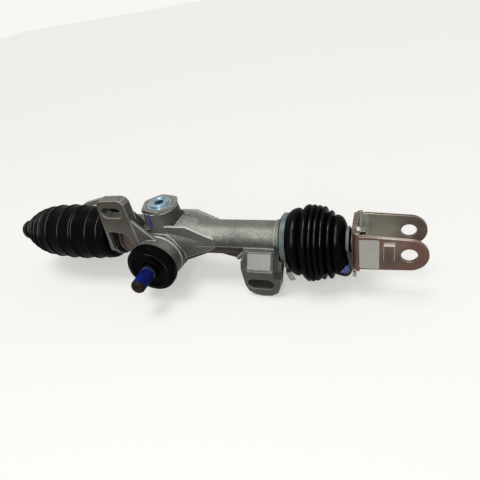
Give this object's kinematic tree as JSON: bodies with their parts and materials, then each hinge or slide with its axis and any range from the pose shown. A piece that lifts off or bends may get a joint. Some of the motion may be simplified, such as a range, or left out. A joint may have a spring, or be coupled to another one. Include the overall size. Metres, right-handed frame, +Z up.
{
  "type": "rack and pinion steering gear",
  "caption": "Manual rack and pinion steering gear: cast housing with two slotted feet, bellows boots, serrated input shaft and a clevis on the rack end.",
  "frame": {"origin": "centre of the slot in the left mounting foot, on the foot's front face", "axes": "+X along the rack towards the clevis, +Z up the yoke adjuster axis, -Y the way the input shaft points"},
  "size_m": [0.471, 0.1155, 0.1139],
  "materials": {
    "cast_aluminium": "die-cast, dull, slightly warm grey",
    "shaft_steel": "ground and hardened steel, lightly oiled",
    "bush_polymer": "moulded acetal",
    "bush_bronze": "plain sintered bronze",
    "bearing_steel": "ground bearing steel",
    "spring_steel": "dark spring steel",
    "seal_rubber": "moulded nitrile",
    "cover_rubber": "smooth black moulded rubber",
    "boot_rubber": "black bellows rubber with a soft sheen",
    "yoke_aluminium": "turned",
    "zinc_plug": "blue-white zinc plate",
    "nut_steel": "zinc-plated steel",
    "band_steel": "thin grey-green zinc-plated band",
    "clevis_zinc": "bronze to grey passivated zinc plate"
  },
  "bodies": {
    "housing": {"housing": "cast_aluminium", "rack_bush": "bush_polymer", "rack_bush_clip": "spring_steel", "pinion_bearing_outer": "bearing_steel", "pinion_bearing_balls": "bearing_steel", "pinion_bearing_cage": "bush_polymer", "pinion_bearing_clip": "spring_steel", "pinion_seal": "seal_rubber", "pinion_lower_bush": "bush_bronze", "pinion_dust_cover": "cover_rubber", "yoke_plunger": "yoke_aluminium", "yoke_liner": "bush_polymer", "yoke_o_ring": "seal_rubber", "yoke_spring": "spring_steel", "adjuster_plug": "zinc_plug", "adjuster_locknut": "nut_steel", "left_boot": "boot_rubber", "left_boot_large_band": "band_steel", "right_boot": "boot_rubber", "right_boot_large_band": "band_steel"},
    "rack": {"rack_bar": "shaft_steel", "clevis": "clevis_zinc", "clevis_stop_plate": "clevis_zinc", "clevis_lock_washer": "nut_steel", "clevis_bolt": "nut_steel", "left_boot_small_band": "band_steel", "right_boot_small_band": "band_steel"},
    "pinion": {"pinion_shaft": "shaft_steel", "pinion_bearing_inner": "bearing_steel", "pinion_shaft_clip": "spring_steel"}
  },
  "joints": [
    {"name": "rack_slide", "type": "slide", "parent": "housing", "child": "rack", "axis": [1, 0, 0], "range_m": [0, 0.075], "deforming": ["left_boot", "right_boot"]},
    {"name": "pinion_spin", "type": "hinge", "parent": "housing", "child": "pinion", "pos_m": [0.0361, 0.003, -0.0583], "axis": [0, 1, 0], "range_deg": [0, 614]}
  ],
  "couplings": [
    {"joint": "pinion_spin", "follows": "rack_slide", "rad_per_m": 142.86}
  ]
}
